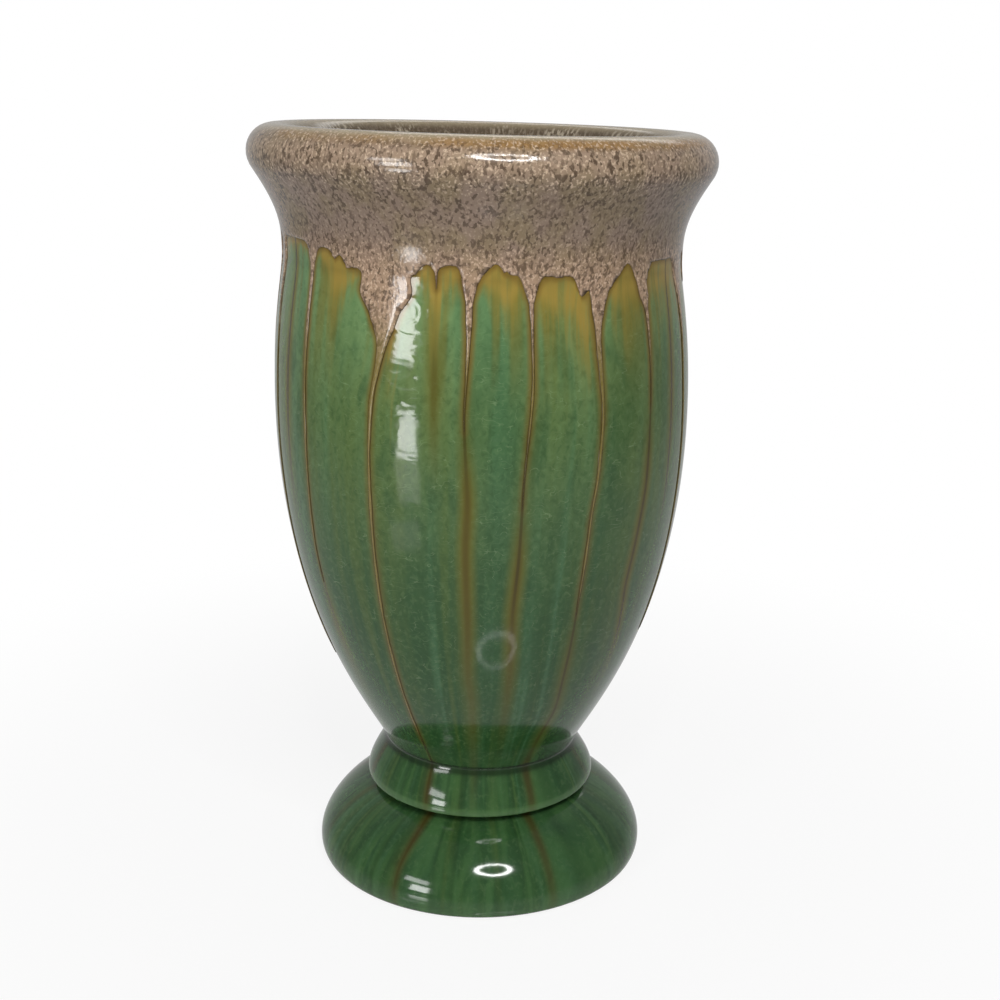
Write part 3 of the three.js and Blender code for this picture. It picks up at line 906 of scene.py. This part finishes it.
def cut_grid(field, base, raised, under):
    """The part of a grid with a positive field, as a closed shell. Each cell keeps its positive corners
    and the places on its sides where the field is zero, found in proportion. Raised and under sheets
    have the same cells and share those edge points."""
    columns, rows = field.shape
    solid = field > 0
    beside = np.roll(np.arange(columns), -1)
    across_cut = solid != solid[beside]
    along_cut = solid[:, :-1] != solid[:, 1:]
    counts = np.cumsum([0, solid.sum(), solid.sum(), across_cut.sum(), along_cut.sum()])

    def numbered(mask, start):
        numbers = np.full(mask.shape, -1)
        numbers[mask] = np.arange(start, start + mask.sum())
        return numbers

    across_number = numbered(across_cut, counts[2])
    along_number = numbered(along_cut, counts[3])
    field_beside, base_beside = field[beside], base[beside]
    share = (field / np.where(across_cut, field - field_beside, 1))[across_cut][:, None]
    across_point = base[across_cut] * (1 - share) + base_beside[across_cut] * share
    share = (field[:, :-1] / np.where(along_cut, field[:, :-1] - field[:, 1:], 1))[along_cut][:, None]
    along_point = base[:, :-1][along_cut] * (1 - share) + base[:, 1:][along_cut] * share
    faces = []
    for sheet, start in ((1, 0), (-1, counts[1])):
        corner = numbered(solid, start)
        ring = np.stack([
            corner[:, :-1], across_number[:, :-1], corner[beside][:, :-1], along_number[beside],
            corner[beside][:, 1:], across_number[:, 1:], corner[:, 1:], along_number,
        ], axis=-1).reshape(-1, 8)[:, ::sheet]
        ring = ring[(ring >= 0).sum(axis=1) > 2]
        sizes = (ring >= 0).sum(axis=1)
        faces += [cell.tolist() for cell in np.split(ring[ring >= 0], np.cumsum(sizes)[:-1])]
    points = np.concatenate([raised[solid], under[solid], across_point, along_point])
    return points, faces, solid, across_cut, along_cut


def drip_coat():
    """The shell of the brown glaze: relief times a quarter circle of the distance in from its edge."""
    columns = grid_columns(drip_beside, drip_spare_step)
    ways = np.concatenate([np.arange(*stretch) for stretch in drip_rows])
    azimuths = bent_grid(columns, ways)
    depth = brown_depth(azimuths, ways)
    relief = run_relief + (rim_relief - run_relief) * smoothstep(thin_way, thick_way, ways)
    rounded = np.sqrt(1 - (1 - np.clip(depth / edge_rounding, 0, 1)) ** 2)
    base = over_face(azimuths, ways, -edge_sink)
    raised = over_face(azimuths, ways, relief * rounded)
    under = over_face(azimuths, ways, -under_sink)
    points, faces, solid, across_cut, along_cut = cut_grid(depth, base, raised, under)
    flow = flow_places(columns, ways)
    flow_all = np.concatenate([flow[solid], flow[solid], flow[across_cut], flow[:, :-1][along_cut]])
    edge_depth = np.zeros(across_cut.sum() + along_cut.sum())
    depth_all = np.concatenate([depth[solid], depth[solid], edge_depth])
    return points, faces, {"flow": flow_all, "inside_brown": depth_all}


drip_clouds = {
    "specks": ("flow", 1.2, 1.4, 2, 0.3),
    "clusters": ("flow", 4, 1.2, 2, 0),
    "flakes": ("flow", 0.8, 1.2, 3, 0.3),
    "tint": ("flow", 12, 1.3, 2, 0),
    "stretch": ("flow", 26, 1, 1, 0),
    "dashes": ("flow", 1.3, 2.4, 2, 0),
}
drip_masks = {
    "tone": ("tint", 0.38, 0.62, 0, 1),
    # pale top band of the rim: the glaze's greyish tan with painted light from above
    "crest": ("way", 9, 2, 0, 0.9),
    "inner": ("way", -2, -8, 0, 1),
    # pale dashes inside the rim: painted glints of the lamps
    "glint_place": ("stretch", 0.42, 0.6, 0.15, 1, "inner"),
    "painted_glint_dash": ("dashes", 0.46, 0.68, 0, 0.6, "glint_place"),
    "ochre_place": ("stretch", 0.35, 0.6, 0.2, 1),
    "ochre_top": ("way", 3, 5.5, 0, 1),
    "ochre": ("way", 9.5, 6.5, 0, 0.75, "ochre_top", "ochre_place"),
    "roll_top": ("way", 7, 10, 0, 1),
    "roll": ("way", 19, 12, 0, 0.5, "roll_top"),
    "funnel": ("way", 38, 54, 0, 0.75),
    "outside": ("way", -6, 3, 0.15, 1),
    "on_roll": ("way", 26, 15, 0.3, 1, "outside"),
    "on_funnels": ("way", 36, 50, 0, 0.85),
    "roll_flake": ("flakes", 0.5, 0.68, 0, 0.85, "on_roll"),
    "funnel_flake": ("flakes", 0.5, 0.68, 0, 1, "on_funnels"),
    "below_crest": ("way", 2, 11, 0.1, 1),
    "denser": ("way", 22, 40, 0.9, 0.8),
    "cluster": ("clusters", 0.35, 0.6, 0.55, 1, "below_crest"),
    "speck": ("specks", 0.49, 0.6, 0, 0.9, "cluster", "denser"),
    "run": ("way", 60, 84, 0, 0.9),
    "rim_share": ("way", 46, 64, 0.25, 1),
    "rim": ("inside_brown", 0.45, 0.12, 0, 0.9, "rim_share"),
}
drip_layers = [
    # the pale dash colour inside the rim is a painted glint, and the crest's pale tan is partly painted light
    ("tone", "#7C6A5C"), ("crest", "#A09274"), ("inner", "#54483A"), ("painted_glint_dash", "#C4B8A2"),
    ("ochre", "#8F6A38"), ("roll", "#A08A74"), ("funnel", "#A0866F"), ("roll_flake", "#BFAA92"),
    ("funnel_flake", "#BFA68F"), ("speck", "#3C2D21"), ("run", "#716530"), ("rim", "#3A3011"),
]
drip_finish = glaze_finish(
    "mauve_brown_drip_glaze", ["flow", "inside_brown"], drip_clouds, drip_masks, "#786851", drip_layers,
    [("specks", 0.05)], roughness=0.13)
drip_points, drip_faces, drip_values = drip_coat()
drip = add_mesh("drip_glaze_coat", drip_points, drip_faces, drip_finish, drip_values)
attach(drip, "root")
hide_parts("drip_glaze")

# The studio
# A white table in a plain grey room: a window at the left and its sheen on the table, a ring lamp above
# the camera and soft fill from behind. The camera looks past the room's sphere, which the glaze mirrors.

table_radius = 1000.0
table_columns = 96
fade_start = 300.0
bare_radius = 100.0
white_radius = 400.0
near_white = 0.86
mirrored_white = 0.65


def white_table():
    """The table: pale where it takes the shadow, plain white further out and fading away at its edge,
    with a polish that the vase mirrors."""
    finish, tree = new_finish("white_table")
    place = add_node(tree, "ShaderNodeTexCoord", out="Object")
    away = add_node(tree, "ShaderNodeVectorMath", {0: place}, out="Value", operation="LENGTH")
    white = add_node(tree, "ShaderNodeMapRange", {
        "Value": away, "From Min": bare_radius / 1000, "From Max": white_radius / 1000, "To Min": near_white},
        interpolation_type="SMOOTHSTEP")
    path = [
        add_node(tree, "ShaderNodeLightPath", out=label)
        for label in ("Is Camera Ray", "Is Glossy Ray", "Is Transmission Ray")
    ]
    seen = add_node(tree, "ShaderNodeMath", {0: path[0], 1: path[1]}, operation="MAXIMUM")
    seen = add_node(tree, "ShaderNodeMath", {0: seen, 1: path[2]}, operation="MAXIMUM")
    share = add_node(tree, "ShaderNodeMath", {0: seen, 1: white}, operation="MULTIPLY")
    matt = add_node(tree, "ShaderNodeBsdfDiffuse", {"Color": (0.95, 0.95, 0.95, 1)})
    strength = add_node(tree, "ShaderNodeMapRange", {
        "Value": path[1], "To Min": 1.0, "To Max": mirrored_white})
    glow = add_node(tree, "ShaderNodeEmission", {"Color": (1, 1, 1, 1), "Strength": strength})
    body = add_node(tree, "ShaderNodeMixShader", {0: share, 1: matt, 2: glow})
    mirror = add_node(tree, "ShaderNodeBsdfGlossy", {"Color": (1, 1, 1, 1), "Roughness": 0.04})
    fresnel = add_node(tree, "ShaderNodeFresnel", {"IOR": 1.5})
    polish = add_node(tree, "ShaderNodeMath", {0: fresnel, 1: path[1]}, operation="MULTIPLY")
    both = add_node(tree, "ShaderNodeMixShader", {0: polish, 1: body, 2: mirror})
    clear = add_node(tree, "ShaderNodeBsdfTransparent")
    fade = add_node(tree, "ShaderNodeMapRange", {
        "Value": away, "From Min": fade_start / 1000, "From Max": table_radius / 1000},
        interpolation_type="SMOOTHSTEP")
    faded = add_node(tree, "ShaderNodeMixShader", {0: fade, 1: both, 2: clear})
    add_node(tree, "ShaderNodeOutputMaterial", {"Surface": faded})
    return finish


def add_glow(name, points, faces, radiance, radiance_behind):
    """A glowing part of the studio that only the vase and its table see, brighter behind the vase."""
    finish, tree = new_finish(name)
    place = add_node(tree, "ShaderNodeTexCoord", out="Object")
    depth = add_node(tree, "ShaderNodeSeparateXYZ", {0: place}, out="Y")
    strength = add_node(tree, "ShaderNodeMapRange", {
        "Value": depth, "From Max": 2.0, "To Min": radiance, "To Max": radiance_behind})
    glow = add_node(tree, "ShaderNodeEmission", {"Color": (1, 1, 1, 1), "Strength": strength})
    add_node(tree, "ShaderNodeOutputMaterial", {"Surface": glow})
    lamp = add_mesh(name, points, faces, finish)
    lamp.visible_camera = False
    lamp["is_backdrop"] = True


table_line = np.array([(table_radius, 0), (table_radius / 2, 0), (0, 0)])
table_faces = grid_faces(table_columns, len(table_line), closed=False)
add_mesh("table", turn(table_line, table_columns), table_faces, white_table())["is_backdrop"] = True

room_radius = 2400.0
room_columns = 48
room_line = arc((0, 0), (room_radius, room_radius), 90, -90, 24)
room_faces = grid_faces(room_columns, len(room_line), closed=False)
add_glow("grey_room", turn(room_line, room_columns), room_faces, radiance=0.2, radiance_behind=0.5)

sheen_radii = (700.0, 1250.0)
sheen_azimuths = (-42.5, -33.0)
sheen_height = 1.0
sheen_points = np.array([
    (radius * np.sin(radians(azimuth)), -radius * np.cos(radians(azimuth)), sheen_height)
    for radius, azimuth in zip(np.repeat(sheen_radii, 2), sheen_azimuths + sheen_azimuths[::-1])
])
add_glow("window_sheen", sheen_points, [(0, 1, 2, 3)], radiance=13.0, radiance_behind=13.0)

lamp_centre = Vector((130, -560, 690))
lamp_faces = Vector((60, 0, 690))
lamp_radii = np.array([130.0, 166.0])
lamp_columns = 64
lamp_turns = np.linspace(0, 2 * pi, lamp_columns, endpoint=False)[:, None]
flat_ring = np.stack(
    [lamp_radii * np.cos(lamp_turns), lamp_radii * np.sin(lamp_turns), 0 * lamp_turns * lamp_radii], axis=-1)
lamp_turned = np.array((lamp_faces - lamp_centre).to_track_quat("Z", "Y").to_matrix())
lamp_ring = flat_ring @ lamp_turned.T + np.array(lamp_centre)
add_glow("ring_lamp", lamp_ring, grid_faces(lamp_columns, len(lamp_radii), closed=False),
         radiance=52.0, radiance_behind=52.0)

world = bpy.data.worlds.new("white_world")
world.use_nodes = True
world.node_tree.nodes["Background"].inputs["Color"].default_value = (1, 1, 1, 1)
bpy.context.scene.world = world


def add_softbox(name, azimuth, away, heights, width, radiance):
    """An upright rectangular lamp that faces the vase: its power is radiance times pi times its area."""
    lamp = bpy.data.lights.new(name, "AREA")
    lamp.shape = "RECTANGLE"
    lamp.size, lamp.size_y = width, heights[1] - heights[0]
    lamp.energy = radiance * pi * lamp.size * lamp.size_y
    middle = sum(heights) / 2
    holder = bpy.data.objects.new(name, lamp)
    holder.location = (away * np.sin(radians(azimuth)), -away * np.cos(radians(azimuth)), middle)
    holder.rotation_euler = (Vector((0, 0, middle)) - holder.location).to_track_quat("-Z", "Y").to_euler()
    bpy.context.scene.collection.objects.link(holder)


# The lamps and the camera are placed in metres
window_away = 1.5
add_softbox("window_low", -39.3, window_away, heights=(0.165, 0.47), width=0.32, radiance=15.0)
add_softbox("window_high", -43.5, window_away, heights=(0.58, 0.78), width=0.44, radiance=9.0)
add_softbox("back_fill", 168, 1.7, heights=(1.2, 2.4), width=1.4, radiance=1.4)

camera_place = (0.00709, -0.5225, 0.29565)
camera_dip = 16.36
camera_roll = 0.489
camera_data = bpy.data.cameras.new("photo_camera")
camera_data.sensor_width = 36
camera_data.lens = 51.39
camera = bpy.data.objects.new("photo_camera", camera_data)
camera.matrix_world = (
    Matrix.Translation(camera_place)
    @ Matrix.Rotation(radians(90 - camera_dip), 4, "X")
    @ Matrix.Rotation(radians(camera_roll), 4, "Z")
)
bpy.context.scene.collection.objects.link(camera)
bpy.context.scene.camera = camera
bpy.context.scene.view_settings.view_transform = "Standard"

[[list(corner) for corner in box] for box in (cad_bounds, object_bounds())]
